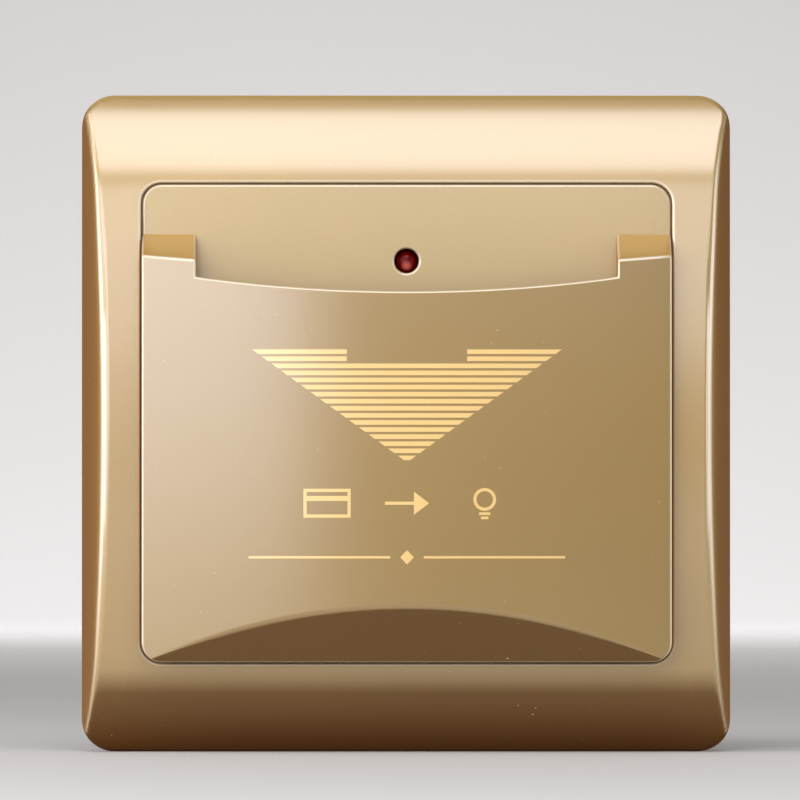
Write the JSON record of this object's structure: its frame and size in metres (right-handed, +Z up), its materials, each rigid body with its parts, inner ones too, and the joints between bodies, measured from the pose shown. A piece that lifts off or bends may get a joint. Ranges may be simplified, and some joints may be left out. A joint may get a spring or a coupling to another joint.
{
  "type": "hotel key card switch",
  "caption": "Square gold wall switch with a bowed card pocket and red indicator lamp; a card in the pocket rocks a lever that works a switch on the board behind.",
  "frame": {"origin": "centre between the two wall-screw slots, on the wall's face", "axes": "+X right and +Z up as seen from the room, +Y into the wall; the card pocket faces -Y"},
  "size_m": [0.086, 0.0452, 0.087],
  "materials": {
    "gold_bezel": "satin champagne-gold metallic lacquer",
    "gold_guide": "satin champagne-gold metallic lacquer",
    "gold_cover": "satin champagne-gold metallic lacquer",
    "screw_steel": "zinc-plated",
    "ivory_plastic": "fine texture",
    "black_plastic": "fine texture",
    "board_green": "solder mask",
    "relay_blue": "moulded",
    "film_red": "moulded",
    "can_sleeve": "shrink sleeve",
    "resistor_tan": "lacquered",
    "varistor_blue": "dipped epoxy",
    "led_red": "tinted epoxy lens",
    "lead_tin": "tinned",
    "contact_bronze": "spring bronze",
    "plunger_red": "moulded",
    "lever_white": "moulded",
    "terminal_brass": "machined"
  },
  "bodies": {
    "base": {"mounting_plate": "ivory_plastic", "rear_housing": "black_plastic", "housing_screws": "screw_steel", "circuit_board": "board_green", "board_screws": "screw_steel", "relay_case": "relay_blue", "relay_base": "black_plastic", "film_capacitor": "film_red", "smoothing_capacitor": "can_sleeve", "rectifier_diodes": "black_plastic", "resistors": "resistor_tan", "varistor": "varistor_blue", "transistor": "black_plastic", "indicator_led": "led_red", "led_spacer": "black_plastic", "led_leads": "lead_tin", "switch_case": "black_plastic", "switch_lid": "black_plastic", "switch_contacts": "contact_bronze", "lever_pin": "screw_steel", "lever_spring": "screw_steel", "terminal_blocks": "terminal_brass"},
    "front": {"bezel": "gold_bezel", "card_guide": "gold_guide", "pocket_cover": "gold_cover", "front_screws": "screw_steel"},
    "lever": {"card_lever": "lever_white"},
    "plunger": {"switch_plunger": "plunger_red"},
    "blade": {"contact_blade": "contact_bronze"},
    "clamp_1": {"terminal_screw_1": "screw_steel"},
    "clamp_2": {"terminal_screw_2": "screw_steel"},
    "clamp_3": {"terminal_screw_3": "screw_steel"},
    "clamp_4": {"terminal_screw_4": "screw_steel"}
  },
  "joints": [
    {"name": "front_release", "type": "slide", "parent": "base", "child": "front", "axis": [0, -1, 0], "range_m": [0, 0.02]},
    {"name": "card_lever_rock", "type": "hinge", "parent": "base", "child": "lever", "pos_m": [0, -0.0036, -0.022], "axis": [1, 0, 0], "range_deg": [0, 12], "stiffness_Nm_per_rad": 0.002, "springref_deg": -3.44, "deforming": ["lever_spring"]},
    {"name": "plunger_stroke", "type": "slide", "parent": "base", "child": "plunger", "axis": [0, 0, 1], "range_m": [0, 0.00138], "deforming": ["lever_spring"]},
    {"name": "blade_flex", "type": "hinge", "parent": "base", "child": "blade", "pos_m": [-0.008, 0.0034, -0.01275], "axis": [0, -1, 0], "range_deg": [0, 10]},
    {"name": "clamp_screw_1", "type": "slide", "parent": "base", "child": "clamp_1", "axis": [0, 0, 1], "range_m": [0, 0.003]},
    {"name": "clamp_screw_2", "type": "slide", "parent": "base", "child": "clamp_2", "axis": [0, 0, 1], "range_m": [0, 0.003]},
    {"name": "clamp_screw_3", "type": "slide", "parent": "base", "child": "clamp_3", "axis": [0, 0, 1], "range_m": [0, 0.003]},
    {"name": "clamp_screw_4", "type": "slide", "parent": "base", "child": "clamp_4", "axis": [0, 0, 1], "range_m": [0, 0.003]}
  ],
  "couplings": [
    {"joint": "card_lever_rock", "follows": "plunger_stroke", "rad_per_m": 151.5},
    {"joint": "blade_flex", "follows": "plunger_stroke", "rad_per_m": 123.7}
  ]
}
